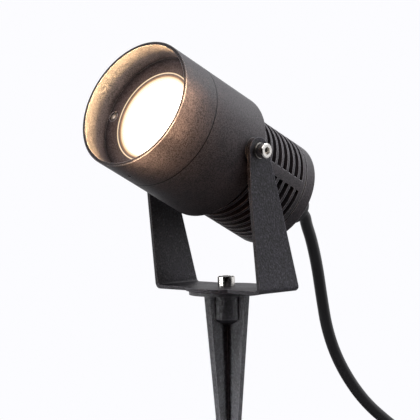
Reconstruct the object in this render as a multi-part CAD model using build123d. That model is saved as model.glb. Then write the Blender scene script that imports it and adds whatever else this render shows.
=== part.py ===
from build123d import *
import os
from math import atan2, cos, hypot, pi, radians, sin, sqrt, tan

os.makedirs("parts", exist_ok=True)

# Garden spike spotlight. Millimetres, +Z up. The origin is on the spike's axis, at the
# ground line, which is the underside of the spike's flange. The head looks towards -Y.

# ---------------------------------------------------------------- driving dimensions

# Head, measured along its own axis from the pivot
HEAD_TILT = 26.0          # head axis above the horizontal, degrees
PIVOT_Y = -15.0           # pivot is this far in front of the spike's axis
PIVOT_HEIGHT = 81.0       # pivot above the underside of the bracket

# Barrel and heat sink, one die casting
BARREL_DIA = 76.0
BARREL_FRONT = 36.5       # pivot to the seam with the hood
BARREL_REAR = 7.5         # pivot to the rear edge of the barrel
BARREL_WALL = 3.6
BARREL_EDGE = 0.8         # chamfer of the rear edge
LEDGE_DEPTH = 10.0        # solid ring at the front that carries glass and screws
SPIGOT_LENGTH = 1.5       # ring that centres the hood
FIN_DIA = 64.0
FIN_COUNT = 7
FIN_PITCH = 5.2
FIN_THICKNESS = 1.7
FIRST_FIN = 7.7           # rear edge of the barrel to the middle of the first fin
CORE_DIA = 46.0
CORE_BORE = 36.0
CORE_SHOULDER = 2.5       # step that the lamp holder's plate seats on
RIB_WIDTH = 6.3           # flat rib along each side of the fins
END_RING = 3.0            # closing ring behind the last slot
LAST_SLOT = 3.6           # last fin's middle to that ring
BOSS_DIA = 15.0           # round pads that the bracket turns on
BOSS_PROUD = 0.2          # pads above the barrel
BOSS_DEPTH = 10.0         # their length inwards

# Hood with the plate that clamps the glass
HOOD_WALL = 1.9
HOOD_RECESS = 17.0        # rim to the face of the plate
HOOD_EDGE = 0.25
SEAM_EDGE = 0.3           # chamfers that meet as a fine groove at the seam
PLATE_THICKNESS = 4.0
WINDOW_DIA = 47.0
WINDOW_BEVEL = 3.4        # width of the bevel round the window
BEVEL_DEPTH = 1.2
DRAIN_DIA = 2.4
DRAIN_AHEAD = 3.4         # drain hole in front of the plate
PLATE_SCREW_COUNT = 3
PLATE_SCREW_EDGE = 3.45   # screw centres inside the spigot's edge

# Glass, gasket and lamp
GLASS_THICKNESS = 3.0
GLASS_BEARING = 2.5       # glass over the ledge, all round
GLASS_SUNK = 1.2          # middle of the glass behind the plate's face
GLASS_EDGE = 0.6
GASKET_THICKNESS = 1.0
GASKET_WALL = 0.9
LAMP_SIDE_CLEAR = 2.1     # lamp inside the ledge, all round
LAMP_RIM = 4.0
LAMP_LENGTH = 46.0
LAMP_NECK_DIA = 22.0
LAMP_NECK_LENGTH = 12.0
LAMP_CLEAR = 0.6          # lamp behind the glass
PIN_SPREAD = 10.0
PIN_DIA = 5.0
PIN_LENGTH = 6.0
HOLDER_DIA = 26.0
HOLDER_LENGTH = 16.0
HOLDER_PLATE = 1.2
LEAD_DIA = 2.2

# Rear cap and cable gland
CAP_LENGTH = 8.6
CAP_CHAMFER = 1.3
CAP_JOINT_EDGE = 0.35     # chamfers of the end ring and the cap where they meet
CAP_GASKET = 0.6
CAP_GASKET_WIDTH = 3.0
CAP_GASKET_INSET = 0.6
CAP_WALL = 3.5
CAP_POCKET_DIA = 40.0
CAP_SCREW_COUNT = 3
CAP_SCREW_PCD = 52.0
GLAND_THREAD = 16.0
GLAND_LOCKNUT = 3.0
GLAND_HEX = 18.0          # across flats
GLAND_BODY = 8.0
GLAND_NUT_DIA = 17.8
GLAND_NUT_LENGTH = 16.5
GLAND_CHAMFER = 0.8
GLAND_MOUTH = 13.0        # opening of the nut that shows the rubber seal
GLAND_LIP = 2.0
GLAND_FLAT_DEPTH = 0.35   # spanner flats, cut below the nut's round

# Bracket, 2 mm sheet bent to a U with a round pad
SHEET = 2.0
PIVOT_PAD = 1.2           # nylon disc between arm and boss
BEND_INSIDE = 1.5
STRIP_WIDTH = 33.0        # base strip and foot of the arms
PAD_DIA = 47.0
PAD_LINE = 0.4            # fine round groove, this wide and this far inside the pad's edge
PAD_LINE_DEPTH = 0.3
ARM_END_RADIUS = 7.6      # round end about the pivot
ARM_UPRIGHT = 19.6        # the front edge stands upright this far below the pivot
ARM_BLEND_SHARE = 0.45    # share of that stretch taken by the blend

# Screws
PIVOT_SCREW = 5.0
PIVOT_SCREW_LENGTH = 12.0
PIVOT_HEAD_DIA = 8.5
BASE_SCREW = 6.0
BASE_SCREW_LENGTH = 16.0
BASE_HEAD_DIA = 10.0
SMALL_SCREW = 3.0
SMALL_HEAD_DIA = 5.5
SMALL_HEAD_HEIGHT = 2.0
PLATE_SCREW_LENGTH = 12.0
COUNTERBORE_DEPTH = 2.4
WASHER_DIA = 8.8
WASHER_THICKNESS = 1.0
SOCKET_SHARE = 0.8        # hexagon socket across flats, over the thread's diameter

# Spike, black plastic
SPIKE_LENGTH = 150.0      # ground line to the tip
FLANGE_DIA = 43.4
FLANGE_THICKNESS = 2.0
SEAT_DIA = 39.0           # raised seat that leaves a shadow line below the pad
SEAT_HEIGHT = 0.3
BLADE_HALF = 16.3         # blade reach at the flange
BLADE_THICKNESS = 4.2
POINT_LENGTH = 13.0       # steeper point below the long taper
POINT_HALF = 2.2
POINT_THICKNESS = 2.2
TIP_HALF = 0.6
TIP_THICKNESS = 1.0
SPIKE_BOSS_DIA = 24.2
SPIKE_BOSS_LENGTH = 14.0
SPIKE_BOSS_DOME = 4.0     # depth of its rounded bottom
INSERT_DIA = 9.0
INSERT_LENGTH = 12.0

# Cord, three-core rubber, laid on a surface at the level of the spike's tip
CORD_DIA = 7.3
CORD_STRAIGHT = 6.4       # straight out of the gland before it bends
COIL_RADIUS = 46.0        # middle of the first loop
COIL_GAP = 0.7            # between loops and between the two layers
COIL_SIDES = 8            # flats round the coiled cord
COIL_TURNS_IN = 2.5       # upper layer, winding in
COIL_TURNS_OUT = 2.75     # lower layer, winding out
PLUG_LEAD = 60.0          # coil to plug
PLUG_DIA = 37.0
PLUG_BODY = 24.0
PLUG_NECK = 36.0          # tapered sleeve on the cord
PLUG_PIN_DIA = 4.8
PLUG_PIN_LENGTH = 19.0
PLUG_PIN_SPREAD = 19.0

# The free cord from the gland: aside, back, and the share of the drop to the upper layer
CORD_ROUTE = [
    (3.0, 10.6, 0.050),
    (6.0, 18.4, 0.103),
    (11.2, 29.2, 0.197),
    (15.1, 36.9, 0.292),
    (17.4, 44.6, 0.422),
    (18.2, 57.4, 0.547),
    (18.6, 78.7, 0.675),
    (18.3, 104.4, 0.774),
    (18.2, 127.1, 0.845),
    (18.1, 150.9, 0.904),
    (31.3, 169.9, 0.948),
    (53.9, 178.0, 0.979),
    (78.9, 171.0, 1.0),
    (93.7, 152.4, 1.0),
]

# Fits
THREAD_CLEAR = 0.15       # all round a screw in its tapped hole
HOLE_CLEAR = 0.2          # all round a screw in a plain hole
TURN_GAP = 0.1            # between faces that turn on each other
FIT_GAP = 0.15            # all round pieces that are pushed together

# ------------------------------------------------------------------- worked-out places

BARREL_R = BARREL_DIA / 2
FIN_R = FIN_DIA / 2
CORE_R = CORE_DIA / 2
SPIGOT_R = BARREL_R - HOOD_WALL - FIT_GAP
HOOD_BORE_R = BARREL_R - HOOD_WALL
PLATE_SCREW_R = SPIGOT_R - PLATE_SCREW_EDGE
GLASS_R = PLATE_SCREW_R - SMALL_SCREW / 2 - HOLE_CLEAR - GASKET_WALL - 2 * FIT_GAP
LEDGE_R = GLASS_R - GLASS_BEARING
LAMP_R = LEDGE_R - LAMP_SIDE_CLEAR
CAVITY_R = BARREL_R - BARREL_WALL
BACK_BORE_R = CORE_BORE / 2 - CORE_SHOULDER

# places along the head's axis, positive towards the rim, 0 at the pivot
SEAM = BARREL_FRONT
SPIGOT_END = SEAM + SPIGOT_LENGTH
GLASS_BACK = SPIGOT_END + GASKET_THICKNESS
PLATE_BACK = GLASS_BACK + GLASS_THICKNESS
PLATE_FACE = PLATE_BACK + PLATE_THICKNESS
RIM = PLATE_FACE + HOOD_RECESS
LEDGE_BACK = SPIGOT_END - LEDGE_DEPTH
BARREL_END = -BARREL_REAR
FINS = [BARREL_END - FIRST_FIN - k * FIN_PITCH for k in range(FIN_COUNT)]
END_RING_FRONT = FINS[-1] - LAST_SLOT
END_RING_BACK = END_RING_FRONT - END_RING
CAP_FRONT = END_RING_BACK - CAP_GASKET
CAP_BACK = CAP_FRONT - CAP_LENGTH
LAMP_FRONT = GLASS_BACK - LAMP_CLEAR
LAMP_BACK = LAMP_FRONT - LAMP_LENGTH
HOLDER_FRONT = LAMP_BACK - FIT_GAP
HOLDER_BACK = HOLDER_FRONT - HOLDER_LENGTH
GLAND_BACK = CAP_BACK - GLAND_BODY
GLAND_END = GLAND_BACK - GLAND_NUT_LENGTH
LOCKNUT_END = CAP_BACK + CAP_WALL + GLAND_LOCKNUT
CORD_INNER_END = LOCKNUT_END + 4

# places across the head, along the pivot's axis
BOSS_FACE = BARREL_R + BOSS_PROUD
ARM_INSIDE = BOSS_FACE + PIVOT_PAD + TURN_GAP
ARM_OUTSIDE = ARM_INSIDE + SHEET
WASHER_FACE = ARM_OUTSIDE + TURN_GAP
PIVOT_HEAD_SEAT = WASHER_FACE + WASHER_THICKNESS

# heights
SEAT_TOP = FLANGE_THICKNESS + SEAT_HEIGHT
BRACKET_BOTTOM = SEAT_TOP + TURN_GAP
BRACKET_TOP = BRACKET_BOTTOM + SHEET
BASE_HEAD_SEAT = BRACKET_TOP + TURN_GAP
PIVOT_Z = BRACKET_BOTTOM + PIVOT_HEIGHT

GROUND = -SPIKE_LENGTH
CORD_R = CORD_DIA / 2
COIL_PITCH = CORD_DIA + COIL_GAP

TILT = radians(HEAD_TILT)
HEAD = Plane(origin=(0, PIVOT_Y, PIVOT_Z), x_dir=(1, 0, 0), z_dir=(0, -cos(TILT), sin(TILT)))

BIG = 4 * BARREL_DIA      # longer than any piece that a cutting tool passes through


# ------------------------------------------------------------------------ small helpers

def turned(profile):
    """Solid of revolution about +Z from points given as (radius, height)."""
    outline = Polyline(*[(r, 0, h) for r, h in profile], close=True)
    return revolve(make_face(outline), Axis.Z)


def rod(radius, start, end):
    """Cylinder about +Z between two heights."""
    low, high = min(start, end), max(start, end)
    return Pos(0, 0, low) * extrude(Circle(radius), high - low)


def ring(outer, inner, start, end):
    """Flat or tubular ring about +Z between two heights."""
    return rod(outer, start, end) - rod(inner, start, end)


def around(count, radius, first=90.0):
    """Places evenly spaced on a circle about +Z."""
    return [Rot(0, 0, first + 360 * k / count) * Pos(radius, 0, 0) for k in range(count)]


def across(side):
    """Turns a piece made about +Z to point along +X or -X, at the pivot."""
    return Rot(0, 90 * side, 0)


def hexagon(across_flats, start, end):
    """Six-sided prism about +Z."""
    low, high = min(start, end), max(start, end)
    return Pos(0, 0, low) * extrude(RegularPolygon(across_flats / sqrt(3), 6), high - low)


def socket_screw(thread, head_dia, head_height, length):
    """Cylinder-head screw, its seat at 0, its head above and its shank below."""
    edge = 0.06 * head_dia
    head = turned([
        (0, 0), (head_dia / 2, 0), (head_dia / 2, head_height - edge),
        (head_dia / 2 - edge, head_height), (0, head_height),
    ])
    shank = turned([
        (0, 0), (thread / 2, 0), (thread / 2, -length + 0.1 * thread),
        (0.4 * thread, -length), (0, -length),
    ])
    recess = hexagon(SOCKET_SHARE * thread, 0.5 * head_height, head_height)
    return head + shank - recess


# ----------------------------------------------------------------------------- the head

def housing():
    """Barrel, cooling fins, side ribs and end ring, one casting."""
    edge = BARREL_EDGE
    outline = [
        (BACK_BORE_R, END_RING_BACK), (FIN_R - CAP_JOINT_EDGE, END_RING_BACK),
        (FIN_R, END_RING_BACK + CAP_JOINT_EDGE), (FIN_R, END_RING_FRONT),
        (CORE_R, END_RING_FRONT),
    ]
    half = FIN_THICKNESS / 2
    for place in reversed(FINS):
        outline += [(CORE_R, place - half), (FIN_R, place - half)]
        outline += [(FIN_R, place + half), (CORE_R, place + half)]
    outline += [
        (CORE_R, BARREL_END), (BARREL_R - edge, BARREL_END), (BARREL_R, BARREL_END + edge),
        (BARREL_R, SEAM - SEAM_EDGE), (BARREL_R - SEAM_EDGE, SEAM), (SPIGOT_R, SEAM),
        (SPIGOT_R, SPIGOT_END), (LEDGE_R, SPIGOT_END), (LEDGE_R, LEDGE_BACK), (CAVITY_R, LEDGE_BACK), (CAVITY_R, BARREL_END + BARREL_WALL),
        (CORE_BORE / 2, BARREL_END + BARREL_WALL), (CORE_BORE / 2, HOLDER_BACK - HOLDER_PLATE),
        (BACK_BORE_R, HOLDER_BACK - HOLDER_PLATE),
    ]
    body = turned(outline)
    for side in (-1, 1):
        body += rib(side)
        body += across(side) * rod(BOSS_DIA / 2, BOSS_FACE - BOSS_DEPTH, BOSS_FACE)
        body -= across(side) * rod(
            PIVOT_SCREW / 2 + THREAD_CLEAR,
            PIVOT_HEAD_SEAT - PIVOT_SCREW_LENGTH - 1, BOSS_FACE + 1)
    for place in around(PLATE_SCREW_COUNT, PLATE_SCREW_R, 180):
        tip = PLATE_FACE - COUNTERBORE_DEPTH - PLATE_SCREW_LENGTH
        body -= place * rod(SMALL_SCREW / 2 + THREAD_CLEAR, tip - 1, SPIGOT_END + 1)
    for place in around(CAP_SCREW_COUNT, CAP_SCREW_PCD / 2):
        body -= place * rod(SMALL_SCREW / 2 + THREAD_CLEAR, END_RING_BACK - 1, END_RING_FRONT + 1)
    return body


def rib(side):
    """Flat rib that joins the fins along one side, flush with their edges."""
    start = END_RING_BACK + CAP_JOINT_EDGE
    depth = FIN_R - CORE_R + 1
    bar = Box(depth, RIB_WIDTH, BARREL_END - start, align=(Align.MAX, Align.CENTER, Align.MIN))
    bar = Pos(FIN_R, 0, start) * bar
    bar &= rod(FIN_R, start, BARREL_END)
    return Rot(0, 0, 0 if side > 0 else 180) * bar


def hood():
    """Glare shield with the plate that clamps the glass, one casting."""
    window = WINDOW_DIA / 2
    body = turned([
        (BARREL_R - SEAM_EDGE, SEAM), (BARREL_R, SEAM + SEAM_EDGE),
        (BARREL_R, RIM - HOOD_EDGE), (BARREL_R - HOOD_EDGE, RIM),
        (HOOD_BORE_R, RIM), (HOOD_BORE_R, PLATE_FACE), (window + WINDOW_BEVEL, PLATE_FACE),
        (window, PLATE_FACE - BEVEL_DEPTH), (window, PLATE_BACK), (HOOD_BORE_R, PLATE_BACK),
        (HOOD_BORE_R, SEAM),
    ])
    for place in around(PLATE_SCREW_COUNT, PLATE_SCREW_R, 180):
        seat = PLATE_FACE - COUNTERBORE_DEPTH
        body -= place * rod(SMALL_SCREW / 2 + HOLE_CLEAR, PLATE_BACK - 1, PLATE_FACE + 1)
        body -= place * rod(SMALL_HEAD_DIA / 2 + HOLE_CLEAR, seat, PLATE_FACE + 1)
    drain = Rot(90, 0, 0) * rod(DRAIN_DIA / 2, 0, BIG)
    return body - Pos(0, 0, PLATE_FACE + DRAIN_AHEAD) * drain


def glass():
    """Clear pressed glass, its middle raised to fill the window."""
    middle = WINDOW_DIA / 2 - 2 * FIT_GAP
    front = PLATE_FACE - GLASS_SUNK
    return turned([
        (0, GLASS_BACK), (GLASS_R, GLASS_BACK), (GLASS_R, PLATE_BACK), (middle, PLATE_BACK),
        (middle, front - GLASS_EDGE), (middle - GLASS_EDGE, front), (0, front),
    ])


def glass_gasket():
    """Silicone ring, angle section, below and round the glass."""
    outer = GLASS_R + FIT_GAP + GASKET_WALL
    return turned([
        (LEDGE_R, SPIGOT_END), (outer, SPIGOT_END), (outer, PLATE_BACK),
        (GLASS_R + FIT_GAP, PLATE_BACK), (GLASS_R + FIT_GAP, GLASS_BACK), (LEDGE_R, GLASS_BACK),
    ])


def plate_screws():
    """Stainless screws that hold the hood, one piece each."""
    screw = socket_screw(SMALL_SCREW, SMALL_HEAD_DIA, SMALL_HEAD_HEIGHT, PLATE_SCREW_LENGTH)
    seat = Pos(0, 0, PLATE_FACE - COUNTERBORE_DEPTH)
    return [place * seat * screw for place in around(PLATE_SCREW_COUNT, PLATE_SCREW_R, 180)]


def lamp():
    """Reflector lamp with its two contact pins."""
    rim = LAMP_R
    neck = LAMP_NECK_DIA / 2
    shoulder = LAMP_FRONT - LAMP_RIM
    waist = LAMP_BACK + LAMP_NECK_LENGTH
    flare = (neck + 0.72 * (rim - neck), waist + 0.45 * (shoulder - waist))
    body = turned([
        (0, LAMP_BACK), (neck, LAMP_BACK), (neck, waist), flare, (rim, shoulder),
        (rim, LAMP_FRONT), (0, LAMP_FRONT),
    ])
    for side in (-1, 1):
        pin = rod(PIN_DIA / 2, LAMP_BACK - PIN_LENGTH, LAMP_BACK)
        body += Pos(side * PIN_SPREAD / 2, 0, 0) * pin
    return body


def lamp_holder():
    """Ceramic holder with the two pin sockets."""
    body = rod(HOLDER_DIA / 2, HOLDER_BACK, HOLDER_FRONT)
    for side in (-1, 1):
        hole = rod(PIN_DIA / 2 + FIT_GAP, HOLDER_FRONT - PIN_LENGTH - 1, HOLDER_FRONT + 1)
        body -= Pos(side * PIN_SPREAD / 2, 0, 0) * hole
    return body


def holder_plate():
    """Steel disc that carries the holder on the shoulder in the casting."""
    outer = CORE_BORE / 2 - FIT_GAP
    hole = 0.35 * HOLDER_DIA
    return ring(outer, hole, HOLDER_BACK - HOLDER_PLATE, HOLDER_BACK)


def leads():
    """Three insulated wires from the holder to the end of the cord."""
    wires = [place * rod(LEAD_DIA / 2, CORD_INNER_END, HOLDER_BACK)
             for place in around(3, LEAD_DIA / sqrt(3) + FIT_GAP / 2)]
    return Compound(children=wires)


# ------------------------------------------------------------- rear cap and cable gland

def rear_gasket():
    """Flat seal between the casting and the cap, set in from the edge."""
    outer = FIN_R - CAP_GASKET_INSET
    return ring(outer, outer - CAP_GASKET_WIDTH, CAP_FRONT, END_RING_BACK)


def rear_cap():
    """Round cap that closes the back and carries the gland."""
    edge = CAP_CHAMFER
    pocket = CAP_POCKET_DIA / 2
    body = turned([
        (GLAND_THREAD / 2 + HOLE_CLEAR, CAP_BACK), (FIN_R - edge, CAP_BACK),
        (FIN_R, CAP_BACK + edge), (FIN_R, CAP_FRONT - CAP_JOINT_EDGE),
        (FIN_R - CAP_JOINT_EDGE, CAP_FRONT), (pocket, CAP_FRONT),
        (pocket, CAP_BACK + CAP_WALL), (GLAND_THREAD / 2 + HOLE_CLEAR, CAP_BACK + CAP_WALL),
    ])
    for place in around(CAP_SCREW_COUNT, CAP_SCREW_PCD / 2):
        body -= place * rod(SMALL_SCREW / 2 + HOLE_CLEAR, CAP_BACK - 1, CAP_FRONT + 1)
        body -= place * rod(
            SMALL_HEAD_DIA / 2 + HOLE_CLEAR, CAP_BACK - 1, CAP_BACK + COUNTERBORE_DEPTH)
    return body


def cap_screws():
    """Stainless screws that hold the cap, one piece each."""
    length = CAP_LENGTH - COUNTERBORE_DEPTH + CAP_GASKET + END_RING - 0.3
    screw = socket_screw(SMALL_SCREW, SMALL_HEAD_DIA, SMALL_HEAD_HEIGHT, length)
    seat = Pos(0, 0, CAP_BACK + COUNTERBORE_DEPTH) * Rot(180, 0, 0)
    return [place * seat * screw for place in around(CAP_SCREW_COUNT, CAP_SCREW_PCD / 2)]


def gland_body():
    """Hexagon body of the gland with the thread that passes the cap."""
    bore = CORD_R + FIT_GAP
    thread_end = LOCKNUT_END + 1
    body = hexagon(GLAND_HEX, GLAND_BACK, CAP_BACK)
    body &= rod(GLAND_HEX / sqrt(3) - 0.3, GLAND_BACK, CAP_BACK)
    body += rod(GLAND_THREAD / 2, CAP_BACK, thread_end)
    return body - rod(bore, GLAND_BACK - 1, thread_end + 1)


def gland_locknut():
    """Thin hexagon nut inside the cap."""
    low = CAP_BACK + CAP_WALL
    nut = hexagon(GLAND_THREAD + 4, low, LOCKNUT_END)
    return nut - rod(GLAND_THREAD / 2 + FIT_GAP, low - 1, LOCKNUT_END + 1)


def gland_nut():
    """Round nut that squeezes the seal on the cord, with flats for a spanner."""
    outer = GLAND_NUT_DIA / 2
    mouth = GLAND_MOUTH / 2
    inner = outer - GLAND_LIP
    body = turned([
        (inner, GLAND_BACK), (outer, GLAND_BACK), (outer, GLAND_END + GLAND_CHAMFER),
        (outer - GLAND_CHAMFER, GLAND_END), (mouth, GLAND_END), (mouth, GLAND_END + GLAND_LIP),
        (inner, GLAND_END + GLAND_LIP + 1),
    ])
    middle = GLAND_END + 0.45 * GLAND_NUT_LENGTH
    flats = hexagon(2 * (outer - GLAND_FLAT_DEPTH), GLAND_BACK, middle)
    return body & (flats + rod(outer, GLAND_END, middle))


def gland_seal():
    """Rubber sleeve squeezed between the nut and the cord."""
    bore = CORD_R + 0.02
    inner = GLAND_NUT_DIA / 2 - GLAND_LIP - FIT_GAP
    mouth = GLAND_MOUTH / 2 - FIT_GAP
    return turned([
        (bore, GLAND_BACK - FIT_GAP), (inner, GLAND_BACK - FIT_GAP),
        (inner, GLAND_END + GLAND_LIP + 1 + FIT_GAP), (mouth, GLAND_END + GLAND_LIP),
        (mouth, GLAND_END), (bore, GLAND_END),
    ])


# ----------------------------------------------------------------- pivots of the bracket

def pivot_pad(side):
    """Nylon friction disc between the casting's boss and the arm."""
    disc = ring(BOSS_DIA / 2, PIVOT_SCREW / 2 + HOLE_CLEAR, BOSS_FACE, BOSS_FACE + PIVOT_PAD)
    return across(side) * disc


def pivot_washer(side):
    """Stainless washer outside the arm."""
    disc = ring(WASHER_DIA / 2, PIVOT_SCREW / 2 + HOLE_CLEAR, WASHER_FACE, PIVOT_HEAD_SEAT)
    return across(side) * disc


def pivot_screw(side):
    """Stainless screw that is the pivot and clamps the tilt."""
    screw = socket_screw(PIVOT_SCREW, PIVOT_HEAD_DIA, PIVOT_SCREW, PIVOT_SCREW_LENGTH)
    return across(side) * Pos(0, 0, PIVOT_HEAD_SEAT) * screw


def arm_outline():
    """Side view of an arm: a leaning foot that ends round about the pivot."""
    half = STRIP_WIDTH / 2
    radius = ARM_END_RADIUS
    foot = (half, SHEET)
    reach = hypot(foot[0] - PIVOT_Y, PIVOT_HEIGHT - foot[1])
    lean = atan2(PIVOT_HEIGHT - foot[1], PIVOT_Y - foot[0])
    slant = lean - atan2(radius, sqrt(reach ** 2 - radius ** 2))
    run = sqrt(reach ** 2 - radius ** 2)
    back = (foot[0] + run * cos(slant), foot[1] + run * sin(slant))
    front = (PIVOT_Y - radius, PIVOT_HEIGHT)
    corner = (PIVOT_Y - radius, PIVOT_HEIGHT - ARM_UPRIGHT)
    turn = abs(atan2(corner[0] + half, corner[1] - SHEET))
    blend = ARM_BLEND_SHARE * ARM_UPRIGHT / tan(turn / 2)
    edge = FilletPolyline((-half, SHEET), corner, front, radius=blend)
    edge += ThreePointArc(front, (PIVOT_Y, PIVOT_HEIGHT + radius), back)
    edge += Polyline(back, foot, (half, 0), (-half, 0), (-half, SHEET))
    return make_face(edge)


def bracket():
    """U of bent sheet with a round pad in its base."""
    tall = PIVOT_HEIGHT + 2 * ARM_END_RADIUS
    outer = Pos(0, tall / 2) * Rectangle(2 * ARM_OUTSIDE, tall)
    outer = fillet(outer.vertices().group_by(Axis.Y)[0], BEND_INSIDE + SHEET)
    inner = Pos(0, tall / 2 + SHEET) * Rectangle(2 * ARM_INSIDE, tall)
    inner = fillet(inner.vertices().group_by(Axis.Y)[0], BEND_INSIDE)
    bent = extrude(Plane.XZ * (outer - inner), BIG / 2, both=True)
    side_view = extrude(Plane.YZ * arm_outline(), BIG / 2, both=True)
    sheet = bent & side_view
    line_r = PAD_DIA / 2 - PAD_LINE
    pad_line = ring(line_r, line_r - PAD_LINE, SHEET - PAD_LINE_DEPTH, SHEET + 1)
    body = sheet + rod(PAD_DIA / 2, 0, SHEET) - pad_line
    body -= rod(BASE_SCREW / 2 + HOLE_CLEAR, -1, SHEET + 1)
    pivot_hole = Rot(0, 90, 0) * rod(PIVOT_SCREW / 2 + HOLE_CLEAR, -BIG / 2, BIG / 2)
    body -= Pos(0, PIVOT_Y, PIVOT_HEIGHT) * pivot_hole
    return Pos(0, 0, BRACKET_BOTTOM) * body


# ---------------------------------------------------------------------------- the spike

def base_screw():
    """Stainless screw that clamps the bracket on the spike."""
    screw = socket_screw(BASE_SCREW, BASE_HEAD_DIA, BASE_SCREW, BASE_SCREW_LENGTH)
    return Pos(0, 0, BASE_HEAD_SEAT) * screw


def blade():
    """One drafted blade across the spike, with a steeper point."""
    levels = [
        (0, BLADE_HALF, BLADE_THICKNESS),
        (-SPIKE_LENGTH + POINT_LENGTH, POINT_HALF, POINT_THICKNESS),
        (-SPIKE_LENGTH, TIP_HALF, TIP_THICKNESS),
    ]
    sections = [Pos(0, 0, z) * Rectangle(2 * half, thick) for z, half, thick in levels]
    return loft(sections[:2], ruled=True) + loft(sections[1:], ruled=True)


def spike():
    """Cross-shaped ground spike with its flange, raised seat and screw boss."""
    boss_r = SPIKE_BOSS_DIA / 2
    low = -SPIKE_BOSS_LENGTH - SPIKE_BOSS_DOME
    sphere = (boss_r ** 2 + SPIKE_BOSS_DOME ** 2) / (2 * SPIKE_BOSS_DOME)
    middle = (boss_r / 2, 0, low + sphere - sqrt(sphere ** 2 - boss_r ** 2 / 4))
    edges = Polyline(
        (0, 0, low), (0, 0, SEAT_TOP), (SEAT_DIA / 2, 0, SEAT_TOP),
        (SEAT_DIA / 2, 0, FLANGE_THICKNESS), (FLANGE_DIA / 2, 0, FLANGE_THICKNESS),
        (FLANGE_DIA / 2, 0, 0), (boss_r, 0, 0), (boss_r, 0, -SPIKE_BOSS_LENGTH))
    edges += ThreePointArc((boss_r, 0, -SPIKE_BOSS_LENGTH), middle, (0, 0, low))
    body = revolve(make_face(edges), Axis.Z)
    body += blade() + Rot(0, 0, 90) * blade()
    body -= rod(INSERT_DIA / 2, SEAT_TOP - INSERT_LENGTH, SEAT_TOP + 1)
    tip = BASE_HEAD_SEAT - BASE_SCREW_LENGTH
    return body - rod(BASE_SCREW / 2 + HOLE_CLEAR, tip - 1, SEAT_TOP)


def spike_insert():
    """Brass thread insert in the spike's boss."""
    return ring(INSERT_DIA / 2, BASE_SCREW / 2 + THREAD_CLEAR, SEAT_TOP - INSERT_LENGTH, SEAT_TOP)


# ----------------------------------------------------------------------------- the cord

def cord_inside():
    """Sheathed cord from the cap's pocket to the end of the gland."""
    return rod(CORD_R, GLAND_END, CORD_INNER_END)


def cord_points():
    """Corners of the free cord's route, from the gland to the start of the coil."""
    start = HEAD.from_local_coords(Vector(0, 0, GLAND_END))
    drop = start.Z - (GROUND + CORD_R + COIL_PITCH)
    points = [start, start - HEAD.z_dir * CORD_STRAIGHT]
    for aside, back, share in CORD_ROUTE:
        points.append(start + Vector(-aside, back, -share * drop))
    return points


def cord_free():
    """Free cord: straight runs joined by arcs as large as the runs allow."""
    points = cord_points()
    runs = [b - a for a, b in zip(points, points[1:])]
    radii = []
    for before, after in zip(runs, runs[1:]):
        half_turn = radians(before.get_angle(after)) / 2
        radii.append(0.45 * min(before.length, after.length) / tan(half_turn))
    path = FilletPolyline(*points, radius=radii)
    print("cord radii", [round(radius, 1) for radius in radii])
    tube = sweep(Plane(origin=points[0], z_dir=runs[0]) * Circle(CORD_R), path)
    share = tube.volume / (pi * CORD_R ** 2 * path.length)
    print("free cord", round(path.length), "mm, volume over section x length", round(share, 4))
    return tube


def biarc(start, leaving, end, arriving):
    """Two arcs in a row that leave one point and reach another along given directions."""
    chord = end - start
    both = leaving + arriving
    spread = 2 * (1 - leaving.dot(arriving))
    along = chord.dot(both)
    square = chord.dot(chord)
    if spread < 1e-9:
        reach = square / (4 * chord.dot(arriving))
    else:
        reach = (sqrt(along ** 2 + spread * square) - along) / spread
    first_corner = start + leaving * reach
    second_corner = end - arriving * reach
    middle = (first_corner + second_corner) / 2
    return [
        TangentArc(start, middle, tangent=leaving),
        TangentArc(middle, end, tangent=second_corner - first_corner),
    ]


def coil_place(turn, middle_turn, first_angle, centre):
    """Point and direction on the coil after a number of turns."""
    radius = COIL_RADIUS - COIL_PITCH * middle_turn + COIL_PITCH * abs(turn - middle_turn)
    growth = COIL_PITCH / (2 * pi) * ((turn > middle_turn) - (turn < middle_turn))
    sunk = min(max(turn - middle_turn + 0.25, 0), 0.5) / 0.5
    height = -COIL_PITCH * sunk ** 2 * (3 - 2 * sunk)
    slope = -COIL_PITCH * 6 * sunk * (1 - sunk) / pi
    angle = first_angle + 2 * pi * turn
    outward = Vector(cos(angle), sin(angle), 0)
    onward = Vector(-sin(angle), cos(angle), 0)
    point = centre + outward * radius + Vector(0, 0, height)
    return point, (outward * growth + onward * radius + Vector(0, 0, slope)).normalized()


def coil_path():
    """Edges of the coil: in on top, down a layer, out on the ground and up to the plug."""
    points = cord_points()
    entry = (points[-1] - points[-2]).normalized()
    start = points[-1] + entry * CORD_DIA
    lean = atan2(COIL_PITCH / (2 * pi), COIL_RADIUS)
    first_angle = atan2(entry.Y, entry.X) - pi / 2 - lean
    centre = start - Vector(cos(first_angle), sin(first_angle), 0) * COIL_RADIUS
    quarters = round(4 * (COIL_TURNS_IN + COIL_TURNS_OUT))
    places = [coil_place(k / 4, COIL_TURNS_IN, first_angle, centre) for k in range(quarters + 1)]
    edges = [Line(points[-1], start)]
    for (here, leaving), (there, arriving) in zip(places, places[1:]):
        edges += biarc(here, leaving, there, arriving)
    end, direction = places[-1]
    lift = Vector(0, 0, GROUND + PLUG_DIA / 2 - end.Z)
    raised = end + direction * (PLUG_LEAD - CORD_DIA) + lift
    edges += biarc(end, direction, raised, direction)
    edges.append(Line(raised, raised + direction * CORD_DIA))
    return edges, raised + direction * CORD_DIA, direction


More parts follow.
